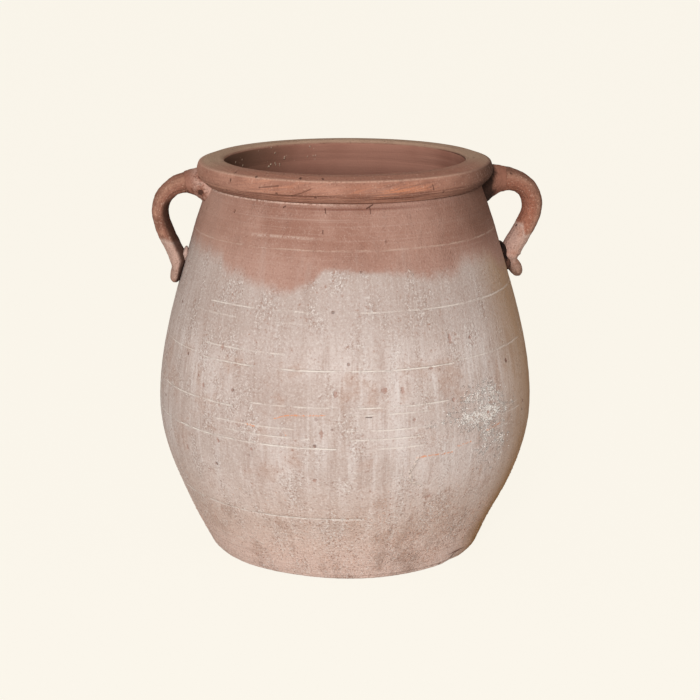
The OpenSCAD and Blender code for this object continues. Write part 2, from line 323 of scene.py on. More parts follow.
def salted(angle, z, even):
    """Where white salts crept out and dried: a crust on the belly's right and a run below it."""
    bearing = angle * math.degrees(1)
    height = z * 1000
    crust = bearing.hump(39.0, 15.0) * height.hump(170.0, 9.0) + bearing.hump(40.0, 10.0) * height.hump(187.0, 12.0)
    run = bearing.hump(43.0, 9.0) * height.hump(142.0, 24.0)
    clumped = even.cloud(60.0, 2.0).rise(0.36, 0.6) * 0.7 + 0.35
    threads = (even * (1.0, 1.0, 1.3)).cloud(150.0, 3.0, 0.7, 0.6).hump(0.5, 0.06).rise(0.25, 0.6)
    dusted = (even.cloud(260.0, 4.0, 0.8) + (crust * 0.26 + run * 0.2) * clumped).rise(0.62, 0.7)
    return dusted * (threads * 0.92 + 0.08) * (crust + run).rise(0.03, 0.2)


def thrown_tree():
    """Turns a profile's points round the jar's axis, and works the surface of the clay."""
    tree = bpy.data.node_groups.new("thrown_clay", "GeometryNodeTree")
    numbers = ("Segments", "Wrap", "Wobble", "Ridge Depth", "Ring Depth", "Pit Depth", "Grit Height", "Seed")
    tree.interface.new_socket("Profile", in_out="INPUT", socket_type="NodeSocketGeometry")
    for name in numbers:
        tree.interface.new_socket(name, in_out="INPUT", socket_type="NodeSocketFloat")
    for name in ("Outside", "Inside"):
        tree.interface.new_socket(name, in_out="INPUT", socket_type="NodeSocketMaterial")
    tree.interface.new_socket("Clay", in_out="OUTPUT", socket_type="NodeSocketGeometry")
    given = tree.nodes.new("NodeGroupInput")
    take = {socket.name: Wire(tree, socket) for socket in given.outputs if socket.name}
    profile = take["Profile"]
    count = profile.node("GeometryNodeAttributeDomainSize", {}, {"Geometry": profile}, "Point Count")
    rows = count + take["Wrap"]
    columns = take["Segments"] + 1
    grid = profile.node("GeometryNodeMeshGrid", {}, {"Vertices X": columns, "Vertices Y": rows})
    index = profile.node("GeometryNodeInputIndex", {}, {})
    row = profile.maths("MODULO", profile.maths("MODULO", index, rows), count)
    turn = profile.maths("FLOOR", index / rows) / take["Segments"] * math.tau
    here = profile.node("GeometryNodeInputPosition", {}, {})
    flag = profile.node("GeometryNodeInputNamedAttribute", {"data_type": "FLOAT"}, {"Name": "inside"})
    sample = {"Geometry": profile, "Index": row}
    point = here.node("GeometryNodeSampleIndex", {"data_type": "FLOAT_VECTOR"}, {**sample, "Value": here})
    inner = here.node("GeometryNodeSampleIndex", {"data_type": "FLOAT"}, {**sample, "Value": flag})
    radius = point.along(0)
    spun = {0: radius * turn.maths("COSINE", turn), 1: radius * turn.maths("SINE", turn), 2: point.along(2)}
    place = here.node("ShaderNodeCombineXYZ", {}, spun)
    shell = here.node("GeometryNodeSetPosition", {}, {"Geometry": grid, "Position": place})
    named = {"Geometry": shell, "Name": "inside", "Value": inner}
    shell = here.node("GeometryNodeStoreNamedAttribute", {"data_type": "FLOAT", "domain": "POINT"}, named)
    shell = here.node("GeometryNodeMergeByDistance", {}, {"Geometry": shell, "Distance": 1e-6})

    inside = here.node("GeometryNodeInputNamedAttribute", {"data_type": "FLOAT"}, {"Name": "inside"})
    angle, z, even = around(here)
    even = even + here.node("ShaderNodeCombineXYZ", {}, {0: take["Seed"]})
    outward = here.node("ShaderNodeVectorMath", {"operation": "NORMALIZE"}, {0: here * (1.0, 1.0, 0.0)})
    wobble = (even.cloud(5.0, 1.0) - 0.62) * take["Wobble"]
    turning = (even * (2.5, 2.5, 150.0)).cloud(1.0, 3.0, 0.6) - 0.5
    scored = rings(angle, z, even) * take["Ring Depth"]
    bearing = angle * math.degrees(1)
    chipped = bearing.hump(47.0, 4.0) * (1.0 - z.rise(0.008, 0.022)) * 3.4
    dents = (pits(even, 60.0, 0.003, 0.16) * 0.5 + named_pits(even) + chipped) * take["Pit Depth"]
    out = here.node("ShaderNodeVectorMath", {"operation": "LENGTH"}, {0: here * (1.0, 1.0, 0.0)}, 1)
    across = even + here.node("ShaderNodeCombineXYZ", {}, {2: out - rim_high.x})
    rough = (across.cloud(190.0, 3.0, 0.6) - 0.5) * take["Grit Height"] * (1.35 - z.rise(0.03, 0.2))
    worked = wobble + turning * take["Ridge Depth"] + rough - (scored + dents) * (1.0 - inside)
    room = belly_r - 0.00003 - out
    worked = worked.maths("MINIMUM", worked, room)
    heel_wear_and_strap_highlight = bearing.hump(-30.0, 24.0) * (1.0 - z.rise(0.0, 0.014)) * heel_wear
    spread = bearing.hump(56.0, 30.0) * (1.0 - z.rise(0.004, 0.04)) * foot_spread
    lean = (rim_high.x - here.along(0)) / (rim_high.x * 2) * z.rise(seam_h, rim_high.z) * rim_tilt
    edge = out.rise(0.118, 0.134)
    drift = {0: (z.rise(0.02, 0.085) - 1.0) * foot_drift, 2: heel_wear_and_strap_highlight * edge - lean}
    uneven = outward.scaled(worked + spread * edge) + here.node("ShaderNodeCombineXYZ", {}, drift)
    shell = here.node("GeometryNodeSetPosition", {}, {"Geometry": shell, "Offset": uneven})
    shell = here.node("GeometryNodeSetShadeSmooth", {}, {"Geometry": shell, "Shade Smooth": True})
    shell = here.node("GeometryNodeRealizeInstances", {}, {"Geometry": shell})
    shell = here.node("GeometryNodeSetMaterial", {}, {"Geometry": shell, "Material": take["Outside"]})
    lining = {"Geometry": shell, "Material": take["Inside"], "Selection": inside.maths("GREATER_THAN", inside, 0.6)}
    shell = here.node("GeometryNodeSetMaterial", {}, lining)
    result = tree.nodes.new("NodeGroupOutput")
    tree.links.new(shell.socket, result.inputs[0])
    return tree


def plain_mesh(source, name, tree, values):
    """Runs a geometry tree on an object and keeps the result as a plain mesh object."""
    modifier = source.modifiers.new(tree.name, "NODES")
    modifier.node_group = tree
    sockets = {item.name: item.identifier for item in tree.interface.items_tree if item.in_out == "INPUT"}
    for socket, value in values.items():
        modifier[sockets[socket]] = value
    bpy.context.view_layer.update()
    evaluated = source.evaluated_get(bpy.context.evaluated_depsgraph_get())
    mesh = bpy.data.meshes.new_from_object(evaluated)
    mesh.name = name
    source.modifiers.remove(modifier)
    bpy.data.objects.remove(source)
    piece = bpy.data.objects.new(name, mesh)
    bpy.context.scene.collection.objects.link(piece)
    return piece


throwing = thrown_tree()
sharp_corner = math.radians(48)


def thrown(name, outside_line, inside_line, closed, **values):
    """A thrown piece from the line of its outside, upward, and of its inside, downward."""
    points = [(r, 0.0, z) for r, z in outside_line + inside_line]
    mesh = bpy.data.meshes.new(name + "_profile")
    mesh.from_pydata(points, [], [])
    inside = mesh.attributes.new("inside", "FLOAT", "POINT")
    inside.data.foreach_set("value", [0.0] * len(outside_line) + [1.0] * len(inside_line))
    source = bpy.data.objects.new(name + "_profile", mesh)
    bpy.context.scene.collection.objects.link(source)
    plain = {"Segments": turn_segments, "Wrap": 1.0 if closed else 0.0, "Seed": 0.0}
    piece = plain_mesh(source, name, throwing, {**plain, **values})
    piece.data.set_sharp_from_angle(angle=sharp_corner)
    return piece


def paint(name, make):
    """A dry fired clay: make gives its colour, its roughness and its fine relief in millimetres."""
    material = bpy.data.materials.new(name)
    material.use_nodes = True
    tree = material.node_tree
    surface = tree.nodes["Principled BSDF"]
    surface.inputs["Specular IOR Level"].default_value = 0.22
    place = Wire(tree, tree.nodes.new("ShaderNodeTexCoord").outputs["Object"])
    colour, roughness, relief = make(place)
    tree.links.new(colour.socket, surface.inputs["Base Color"])
    tree.links.new(roughness.socket, surface.inputs["Roughness"])
    bump = {"Height": relief, "Distance": 0.001, "Strength": 1.0}
    tree.links.new(place.node("ShaderNodeBump", {}, bump).socket, surface.inputs["Normal"])
    return material


def inside_paint(place):
    """The jar's lining: darker red, brushed round, painted dark as shade on its left side, with a few chalky specks
    below the mouth.
    """
    angle, z, even = around(place)
    brushed = (even * (5.0, 5.0, 300.0)).cloud(1.0, 4.0, 0.65)
    clouds = even.cloud(14.0, 3.0)
    colour = lay(clay(164, 114, 97), lay(clay(180, 130, 112), brushed, 1.0), clouds.rise(0.35, 0.7))
    colour = lay(clay(196, 148, 130), colour, brushed.rise(0.54, 0.74) * 0.25)
    colour = lay(clay(140, 96, 80), colour, brushed.rise(0.46, 0.28) * 0.3)
    # Painted shade: the inside of the left wall, which faces away from the light, is darkened.
    left = 1.0 - place.along(0).rise(-0.11, -0.02)
    colour = lay(clay(96, 72, 54), colour, left * 0.8)
    colour = lay(clay(124, 84, 70), colour, 1.0 - z.rise(0.33, 0.394))
    specks = pits(even, 330.0, 0.0016, 0.16) * even.cloud(40.0, 1.0).rise(0.5, 0.56)
    specks = specks * (1.0 - place.along(0).rise(-0.05, 0.0))
    colour = lay(clay(232, 208, 184), colour, specks * 0.9)
    relief = brushed * 0.5 + even.cloud(420.0, 3.0) * 0.35 + specks
    return colour, brushed * 0.1 + 0.82, relief


# The lime's upper edge: degrees from the front and height in millimetres.
tide = [
    (-180, 306), (-150, 318), (-125, 300), (-100, 312), (-80, 322), (-58, 316), (-50, 306), (-36, 296),
    (-25, 292), (-18, 300), (-12, 315), (0, 312), (16, 309), (26, 304), (33, 305), (43, 315), (54, 312),
    (70, 296), (90, 300), (120, 315), (150, 298), (180, 306),
]
tide_low, tide_high = 285.0, 325.0


def limed(angle, z, even):
    """How much lime lies on the clay: 1 below the tide line, 0 above. The line blurs at the sides."""
    stops = [(degrees / 360 + 0.5, ((mm - tide_low) / (tide_high - tide_low),) * 3 + (1,)) for degrees, mm in tide]
    share = angle / math.tau + 0.5
    line = share.node("ShaderNodeValToRGB", {"stops": stops, "stop_blend": "EASE"}, {0: share})
    front = (angle * math.degrees(1)).hump(-2.0, 30.0)
    streaked = (even * (60.0, 60.0, 9.0)).cloud(1.0, 3.0, 0.6) - 0.5
    ragged = (even.cloud(28.0, 2.0) - 0.5) * 9.0 + (even.cloud(150.0, 3.0, 0.6) - 0.5) * 7.0
    above = z * 1000 - (line * (tide_high - tide_low) + tide_low) + ragged + streaked * (1.0 - front) * 26.0
    return 1.0 - (above / (1.0 + (1.0 - front) * 2.2)).rise(-3.6, 3.4)


def skin_paint(place):
    """The body outside: red clay above, chalky lime bloom below the tide line, wiped and stained, with painted shade
    on its right side and in a groove below the rim.
    """
    angle, z, even = around(place)
    bearing, height = angle * math.degrees(1), z * 1000
    grain = even.cloud(620.0, 3.0, 0.65)
    brushed = (even * (7.0, 7.0, 620.0)).cloud(1.0, 4.0, 0.62)
    wiped = (even * (85.0, 85.0, 12.0)).cloud(1.0, 3.0, 0.6)
    fine_wipes = (even * (330.0, 330.0, 16.0)).cloud(1.0, 2.0, 0.6)
    clouds = even.cloud(17.0, 3.0, 0.55)
    patches = even.cloud(34.0, 4.0, 0.62)
    speckle = even.cloud(250.0, 4.0, 0.72)
    flecks = even.cloud(520.0, 2.0, 0.8)
    crusty = (even * (50.0, 50.0, 24.0)).cloud(1.0, 3.0, 0.6).rise(0.48, 0.64)
    low = 1.0 - z.rise(0.02, 0.15)

    red = lay(clay(174, 135, 120), lay(clay(156, 114, 98), clouds, 1.0), clouds.rise(0.35, 0.62))
    red = lay(clay(196, 164, 152), red, brushed.rise(0.5, 0.72) * 0.3)
    red = lay(clay(146, 102, 87), red, brushed.rise(0.47, 0.3) * 0.3)
    red = lay(clay(184, 124, 98), red, speckle.rise(0.57, 0.7) * (1.0 - z.rise(0.33, 0.35)) * 0.2)
    red = lay(clay(186, 150, 137), red, (1.0 - z.rise(0.305, 0.345)) * 0.5)
    red = lay(clay(138, 94, 78), red, flecks.rise(0.56, 0.66) * 0.35)
    red = lay(clay(206, 176, 164), red, flecks.rise(0.44, 0.34) * 0.3)
    red = lay(clay(198, 176, 166), red, wiped.rise(0.5, 0.66) * (1.0 - z.rise(0.325, 0.345)) * 0.16)
    # Painted shade: the red shoulder is darkened on the right side under the rim, away from the light.
    right = bearing.rise(22.0, 66.0) * (1.0 - bearing.rise(110.0, 160.0))
    red = lay(clay(108, 76, 62), red, right * z.rise(0.30, 0.35) * 0.7)
    red = lay(clay(190, 152, 136), red, (1.0 - bearing.rise(-75.0, -35.0)) * bearing.rise(-150.0, -110.0) * 0.45)
    crumbly = speckle.rise(0.42, 0.52) * flecks.rise(0.36, 0.52)
    dashes = (height + (clouds - 0.5) * 5.0).hump(341.0, 1.3) * crumbly * bearing.rise(-44.0, -40.0)
    dashes = dashes * (1.0 - bearing.rise(-24.0, -6.0))
    band = height.hump(357.0, 1.4) * bearing.hump(-20.0, 18.0) * brushed.rise(0.4, 0.55)
    red = lay(clay(214, 190, 177), red, dashes * 0.6 + band * flecks.rise(0.34, 0.56) * 0.3)
    # Painted shade: a dark line at the front below the rim, standing in for the shade in a groove.
    groove_shade = height.hump(367.6, 1.3) * bearing.hump(0.0, 26.0)
    red = lay(clay(122, 76, 62), red, groove_shade * 0.75)
    under_rim = height.hump(371.6, 0.9) * (1.0 - bearing.rise(-24.0, 10.0)) * speckle.rise(0.4, 0.55)
    under_rim = under_rim * bearing.rise(-150.0, -110.0)
    red = lay(clay(226, 198, 182), red, under_rim * 0.8)

    lime = lay(clay(214, 200, 194), lay(clay(197, 180, 172), clouds, 1.0), clouds.rise(0.35, 0.65))
    lime = lay(clay(178, 155, 145), lime, wiped.rise(0.52, 0.7) * 0.55)
    lime = lay(clay(222, 212, 208), lime, wiped.rise(0.47, 0.34) * 0.45)
    lime = lay(clay(178, 154, 142), lime, fine_wipes.rise(0.55, 0.72) * 0.42)
    lime = lay(clay(226, 217, 213), lime, fine_wipes.rise(0.44, 0.32) * 0.4)
    lime = lay(clay(174, 152, 142), lime, bearing.hump(-30.0, 14.0) * z.hump(0.205, 0.05) * 0.6)
    lime = lay(clay(222, 193, 176), lime, low * (patches * 0.8 + 0.3))
    lime = lay(clay(180, 162, 154), lime, z.rise(0.215, 0.28) * 0.62)
    lime = lay(clay(233, 206, 194), lime, (1.0 - z.rise(0.016, 0.07)) * 0.85)
    turned = brushed * (1.0 - z.rise(0.02, 0.07))
    lime = lay(clay(160, 126, 108), lime, turned.rise(0.5, 0.66) * 0.4)
    thin = patches.rise(0.5, 0.64) * (1.0 - z.rise(0.222, 0.235))
    lime = lay(clay(184, 156, 142), lime, thin * wiped.rise(0.34, 0.54) * 0.6)
    lime = lay(clay(158, 116, 98), lime, speckle.rise(0.57, 0.68) * (patches.rise(0.4, 0.6) * 0.5 + 0.2))
    lime = lay(clay(158, 120, 103), lime, flecks.rise(0.54, 0.64) * (crusty * 0.34 + low * 0.1 + 0.26))
    lime = lay(clay(242, 234, 228), lime, flecks.rise(0.46, 0.36) * (crusty * 0.42 + low * 0.2 + 0.24))
    # Painted shade: a warm brown tint over the right side, which turns away from the light, stronger lower down.
    warm_shade_tint = angle.rise(0.72, 1.2) * (1.0 - angle.rise(1.9, 2.6))
    lime = lay(clay(176, 135, 92), lime, warm_shade_tint * (patches * 0.3 + 0.52 + low * 0.6))

    cover = limed(angle, z, even)
    colour = lime.tint(red, cover)
    salt = salted(angle, z, even)
    colour = lay(clay(250, 245, 239), colour, salt * (flecks * 0.7 + 0.42))
    score = rings(angle, z, even)
    pale = lay(clay(238, 228, 219), lay(clay(212, 184, 168), cover, 1.0), cover)
    colour = pale.tint(colour, score * 0.95)
    torn = (speckle - 0.5) * 0.02
    scraped = strokes(angle + torn, z + torn * 0.12, scrapes) * flecks.rise(0.42, 0.55)
    colour = lay(clay(226, 150, 108), colour, scraped * 0.8)
    split = strokes(angle + torn * 0.4, z + torn * 0.05, cracks)
    colour = lay(clay(92, 56, 44), colour, split * 0.7)
    raised = strokes(angle + torn * 0.5, z + torn * 0.08, pressed_loop)
    raised = raised * speckle.rise(0.4, 0.52)
    colour = lay(clay(232, 216, 204), colour, raised * 0.6)
    spots = pits(even, 75.0, 0.0020, 0.14) * speckle.rise(0.35, 0.5)
    colour = lay(clay(150, 104, 87), colour, spots * 0.6)
    holes = named_pits(even)
    colour = lay(clay(164, 114, 97), colour, holes.rise(0.1, 0.6) * 0.5)
    coarse = crusty * 0.8 + low * 1.1 + 0.9
    sandy = bearing.hump(24.0, 40.0) * low * patches.rise(0.36, 0.6)
    relief = grain * 0.5 - (flecks - 0.5) * coarse * 0.9 - (spots + split) * 1.2 - holes * 0.6 + brushed * 0.3
    relief = relief - (speckle - 0.5) * (low * 0.4 + sandy * 2.4 + crusty * 0.4)
    return colour, grain * 0.1 + 0.82, relief - score * 0.7 + salt * 0.9 + fine_wipes * cover * 0.3 + raised * 0.6


lining = paint("lining_clay", inside_paint)
skin = paint("limed_clay", skin_paint)
body = {"Wobble": 0.0018, "Ridge Depth": 0.0005, "Ring Depth": 0.0005, "Pit Depth": 0.0005,
        "Grit Height": 0.0011, "Outside": skin, "Inside": lining}

heel = [(foot_r - heel_round + heel_round * math.sin(i / heel_turns * math.pi / 2),
         heel_round - heel_round * math.cos(i / heel_turns * math.pi / 2)) for i in range(heel_turns)]
slab_skin = straight([(0, 0), (foot_r - heel_round, 0)], hidden_step) + heel
slab_skin += [(foot_r, heel_round)] + wall_line(heel_round + 0.001, seat_h, shown_step)
rebate_in = outer_r(seat_h) - 0.012
slab_top = straight([(outer_r(seat_h), seat_h), (rebate_in, seat_h), (rebate_in, floor_h), (0, floor_h)], hidden_step)
floor_slab = thrown("floor_slab_visual", slab_skin, slab_top + [(0, floor_h)], False,
                    **body)
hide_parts("floor_slab")
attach(floor_slab, "root")


# The lower half is thrown on the wheel from the slab up to the belly. Its skin carries scored rings,
# pits where grit tore out, and the chalky bloom of salts from damp ground.
cove_r = 0.020
cove_turns = 8
cove_in = inner_r(floor_h + cove_r)
cove = [(cove_in - cove_r * (1 - math.cos(i / cove_turns * math.pi / 2)),
         floor_h + cove_r - cove_r * math.sin(i / cove_turns * math.pi / 2)) for i in range(cove_turns + 1)]
lower_skin = skin_line(seat_h, belly_h) + [(belly_r, belly_h)]
lower_lining = wall_line(belly_h, floor_h + cove_r, hidden_step, inner_r) + cove
lower_lining += [(cove_in - cove_r, seat_h)]
lower_wall = thrown("lower_wall_visual", lower_skin, lower_lining, True, **body)
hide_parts("lower_wall")
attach(lower_wall, "root")


# The upper half is thrown apart and luted to the lower one at the belly. It draws in to the neck,
# where its edge stands up inside the rim.
tenon_h = 0.012
upper_skin = skin_line(belly_h, seam_h) + [(neck_r, seam_h), (neck_r - 0.002, seam_h + 0.001)]
upper_skin += [(neck_r - 0.002, seam_h + tenon_h)]
upper_lining = [(neck_r - wall_t + 0.0015, seam_h + tenon_h)] + wall_line(seam_h, belly_h, hidden_step, inner_r)
upper_lining += [(inner_r(belly_h), belly_h)]
upper_wall = thrown("upper_wall_visual", upper_skin, upper_lining, True, **body)
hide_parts("upper_wall")
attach(upper_wall, "root")


# White salts crept out of the damp clay and dried as crumbs on the belly's right. Sand from the
# bench stuck in the soft foot. Both are small flat grains on the skin of the two halves.
def grain_tree():
    """Scatters small flat grains over a skin: salt crumbs where Salt is 1, the foot's sand where it is 0."""
    tree = bpy.data.node_groups.new("scattered_grains", "GeometryNodeTree")
    tree.interface.new_socket("Skin", in_out="INPUT", socket_type="NodeSocketGeometry")
    for name in ("Density", "Grain Size", "Salt", "Seed"):
        tree.interface.new_socket(name, in_out="INPUT", socket_type="NodeSocketFloat")
    tree.interface.new_socket("Grain Paint", in_out="INPUT", socket_type="NodeSocketMaterial")
    tree.interface.new_socket("Grains", in_out="OUTPUT", socket_type="NodeSocketGeometry")
    given = tree.nodes.new("NodeGroupInput")
    take = {socket.name: Wire(tree, socket) for socket in given.outputs if socket.name}
    here = take["Skin"].node("GeometryNodeInputPosition", {}, {})
    inside = here.node("GeometryNodeInputNamedAttribute", {"data_type": "FLOAT"}, {"Name": "inside"})
    angle, z, even = around(here)
    salt = salted(angle, z, even) * take["Salt"]
    sand = (1.0 - z.rise(0.03, 0.125)) * ((angle * math.degrees(1)).hump(24.0, 40.0) * 0.7 + 0.3)
    sand = sand * even.cloud(45.0, 2.0).rise(0.4, 0.62) * (1.0 - take["Salt"])
    cover = (salt + sand) * (1.0 - inside.rise(0.1, 0.3))
    spread = {"Mesh": take["Skin"], "Density": cover * take["Density"], "Seed": take["Seed"]}
    places = here.node("GeometryNodeDistributePointsOnFaces", {"distribute_method": "RANDOM"}, spread)
    facing = Wire(tree, places.socket.node.outputs["Rotation"])
    size = here.node("FunctionNodeRandomValue", {"data_type": "FLOAT"}, {2: 0.4, 3: 1.0}, 1) * take["Grain Size"]
    flat = here.node("ShaderNodeCombineXYZ", {}, {0: size, 1: size * 0.75, 2: size * 0.5})
    grain = here.node("GeometryNodeMeshIcoSphere", {}, {"Radius": 1.0, "Subdivisions": 1})
    set_down = {"Points": places, "Instance": grain, "Rotation": facing, "Scale": flat}
    grains = here.node("GeometryNodeInstanceOnPoints", {}, set_down)
    grains = here.node("GeometryNodeRealizeInstances", {}, {"Geometry": grains})
    painted = {"Geometry": grains, "Material": take["Grain Paint"]}
    grains = here.node("GeometryNodeSetMaterial", {}, painted)
    result = tree.nodes.new("NodeGroupOutput")
    tree.links.new(grains.socket, result.inputs[0])
    return tree


def salt_paint(place):
    """White salt, greyer where dust settled in it."""
    dust = place.cloud(300.0, 3.0, 0.6)
    colour = lay(clay(232, 222, 214), lay(clay(255, 252, 248), dust, 1.0), dust.rise(0.4, 0.6))
    return colour, dust * 0.1 + 0.85, dust


def sand_paint(place):
    """Grains of the clay itself, some pale and some dark."""
    mixed = place.cloud(420.0, 2.0, 0.7)
    colour = lay(clay(212, 184, 168), lay(clay(190, 156, 139), mixed, 1.0), mixed.rise(0.5, 0.62))
    return lay(clay(140, 100, 84), colour, mixed.rise(0.47, 0.36)), mixed * 0.1 + 0.82, mixed


scattering = grain_tree()
salt_white = paint("salt_white", salt_paint)
clay_sand = paint("clay_sand", sand_paint)
for name, wall, material, values in (
        ("salt_crust_low", lower_wall, salt_white, {"Density": 3.6e5, "Grain Size": 0.00085, "Salt": 1.0}),
        ("salt_crust_high", upper_wall, salt_white, {"Density": 3.6e5, "Grain Size": 0.00085, "Salt": 1.0}),
        ("foot_sand", lower_wall, clay_sand, {"Density": 1.9e5, "Grain Size": 0.001, "Salt": 0.0})):
    source = bpy.data.objects.new(name + "_skin", wall.data.copy())
    bpy.context.scene.collection.objects.link(source)
    grains = plain_mesh(source, name, scattering, {**values, "Seed": 5.0, "Grain Paint": material})
    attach(grains, "root")


# The rim is a thick coil laid over the neck's edge and thrown to a roll. Its crown is worn pale, its
# side carries the smears of the potter's wet cloth, and its lower edge overhangs the neck.
rim_top = rim_high.z
mouth_r = 0.1203
crest_r = 0.135
rim_r = 0.1475
ledge_r = 0.1385
outer_round = 0.013
lip_round = 0.004
skirt_z = seam_h - 0.010


def curve(a, b, leaving, arriving, count):
    """Points on a smooth curve between two places, without the last."""
    shares = [i / count for i in range(count)]
    return [tuple(blend(p, q, m, n, t) for p, q, m, n in zip(a, b, leaving, arriving)) for t in shares]


# Dark marks and the slanting crease that the potter's hand left on the rim.
rim_marks = [(28.4, 388.5, 29, 383.5, 0.6), (-41, 395.2, -40, 394.6, 0.7), (-22.6, 396.3, -22, 396, 0.7),
             (-14, 396.4, -13.4, 396, 0.7), (61, 385, 61.6, 381, 0.6)]
rim_crease = [(-25, 380, -21.6, 382.8, 0.8), (-21.6, 382.8, -17.6, 387.6, 0.6), (-38, 386, -30, 389, 0.6)]


def rim_paint(place):
    """Bare red clay: dragged with a wet cloth, grooved along its lower edge, worn pale on the lip, with a painted
    highlight along its ridge and painted shade on its right side.
    """
    angle, z, even = around(place)
    bearing, height = angle * math.degrees(1), z * 1000
    radius = place.node("ShaderNodeVectorMath", {"operation": "LENGTH"}, {0: place * (1.0, 1.0, 0.0)}, 1) * 1000
    even = even + even.node("ShaderNodeCombineXYZ", {}, {2: radius / 1000 - rim_high.x})
    grain = even.cloud(560.0, 3.0, 0.65)
    flecks = even.cloud(480.0, 2.0, 0.8)
    brushed = (even * (8.0, 8.0, 620.0)).cloud(1.0, 4.0, 0.62)
    slanted = even + even.node("ShaderNodeCombineXYZ", {}, {2: angle.maths("SINE", angle) * -0.02})
    smears = (slanted * (26.0, 26.0, 380.0)).cloud(1.0, 4.0, 0.65, 0.8)
    clouds = even.cloud(19.0, 3.0, 0.6)
    lower = 1.0 - height.rise(380.0, 383.5)
    slope = height.rise(394.0, 395.6) * radius.rise(132.0, 136.0)
    colour = lay(clay(180, 133, 114), lay(clay(160, 113, 95), clouds, 1.0), clouds.rise(0.35, 0.65))
    colour = lay(clay(154, 108, 91), colour, slope * 0.75)
    colour = lay(clay(136, 94, 79), colour, smears.rise(0.49, 0.34) * (0.25 + bearing.hump(5.0, 40.0) * 0.3))
    colour = lay(clay(200, 156, 137), colour, smears.rise(0.54, 0.68) * 0.35)
    rubbed = bearing.hump(14.0, 17.0) * height.hump(383.0, 7.0) + (bearing.hump(-30.0, 14.0) * 0.35)
    colour = lay(clay(212, 138, 102), colour, smears.rise(0.46, 0.6) * rubbed * 0.8)
    colour = lay(clay(196, 146, 124), colour, brushed.rise(0.5, 0.6) * lower * 0.75)
    colour = lay(clay(112, 72, 58), colour, brushed.rise(0.5, 0.4) * (lower * 0.85 + 0.08))
    # Painted highlight: a pale broken line along the ridge on the rim's side.
    ridge = height.hump(394.3, 0.8) * radius.rise(140.0, 142.0) * flecks.rise(0.34, 0.52)
    colour = lay(clay(216, 178, 158), colour, ridge * 0.7)
    crown = height.rise(rim_top * 1000 - 4.0, rim_top * 1000 - 2.0)
    beyond = 1.0 - angle.maths("COSINE", angle).rise(0.1, 0.8)
    colour = lay(clay(182, 155, 132), colour, crown * beyond * (0.6 + clouds * 0.4))
    colour = lay(clay(160, 114, 96), colour, crown * (1.0 - beyond) * 0.6)
    lip = radius.hump(mouth_r * 1000 + 1.0, 1.0) * crown * flecks.rise(0.36, 0.5)
    colour = lay(clay(206, 166, 142), colour, lip * (0.25 + bearing.hump(0.0, 60.0) * 0.4))
    # Painted shade: the rim's side is darkened on the right, away from the light.
    colour = lay(clay(92, 62, 49), colour, bearing.rise(28.0, 72.0) * (1.0 - bearing.rise(100.0, 130.0)) *
                 (1.0 - crown))
    colour = lay(clay(182, 136, 117), colour, (1.0 - bearing.rise(-85.0, -50.0)) * (1.0 - crown) * 0.4)
    colour = lay(clay(112, 74, 61), colour, flecks.rise(0.58, 0.68) * 0.45)
    colour = lay(clay(222, 190, 172), colour, flecks.rise(0.4, 0.32) * 0.35)
    torn = (flecks - 0.5) * 0.02
    scarred = strokes(angle + torn, z + torn * 0.05, rim_marks)
    crease = strokes(angle + torn * 0.3, z + torn * 0.02, rim_crease)
    colour = lay(clay(96, 62, 50), colour, scarred * 0.7)
    colour = lay(clay(112, 72, 58), colour, crease * 0.35)
    holes = pits(even, 130.0, 0.0019, 0.12)
    colour = lay(clay(104, 70, 58), colour, holes * 0.7)
    relief = grain * 0.6 + flecks * 0.9 + brushed * (lower * 2.2 + 0.3) + smears * 1.2
    return colour, grain * 0.1 + 0.8, relief - (holes + scarred + crease) * 1.4


rim_skin = curve((ledge_r, seam_h), (rim_r, rim_top - outer_round), (0.0144, 0.0144), (0, 0.013), 10)
ridge = (rim_r - 0.0028, rim_top - 0.0033)
rim_skin += curve((rim_r, rim_top - outer_round), ridge, (0, 0.012), (-0.006, 0.004), 9)
rim_skin += straight([ridge, (crest_r, rim_top), (mouth_r + lip_round, rim_top)], 0.0015)
rim_skin += [(mouth_r + lip_round - lip_round * math.sin(i / 6 * math.pi / 2),
              rim_top - lip_round + lip_round * math.cos(i / 6 * math.pi / 2)) for i in range(6)]
rim_lining = curve((mouth_r, rim_top - lip_round), (inner_r(skirt_z) - 0.0003, skirt_z), (0, -0.016), (0, -0.012), 14)
rim_lining += [(inner_r(skirt_z) - 0.0003, skirt_z), (inner_r(skirt_z) + 0.0015, skirt_z)]
rim_lining += [(neck_r - 0.008, seam_h + 0.004), (neck_r - 0.003, seam_h + 0.004), (neck_r - 0.003, seam_h + 0.0002)]
bare = paint("rim_clay", rim_paint)
rim_coil = thrown("rim_coil_visual", rim_skin, rim_lining, True,
                  **{"Wobble": 0.0012, "Ridge Depth": 0.0009, "Ring Depth": 0.0, "Pit Depth": 0.0,
                     "Grit Height": 0.0009, "Outside": bare, "Inside": lining})
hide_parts("rim_coil")
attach(rim_coil, "root")


# Each handle is a strap of clay pulled by hand, wet and tapering. Its thick root is worked on to the
# neck under the rim, the strap bends over and down, and its tail is thumbed on to the shoulder.
strap_turns = 56
strap_ring = 2.6
strap_w = 0.027
root_swell = 0.016
tail_pinch = 0.2
root_share_rings = 10
bend_fullness = 1.4
root_climb = 0.5
root_bite = 0.006
landing_bite = 0.001
root_z, crest_z, landing_z, tail_z = seam_h - 0.005, seam_h - 0.028, seam_h - 0.076, seam_h - 0.100


def slope(z):
    """How fast the skin widens with height."""
    return (outer_r(z + 0.0005) - outer_r(z - 0.0005)) / 0.001


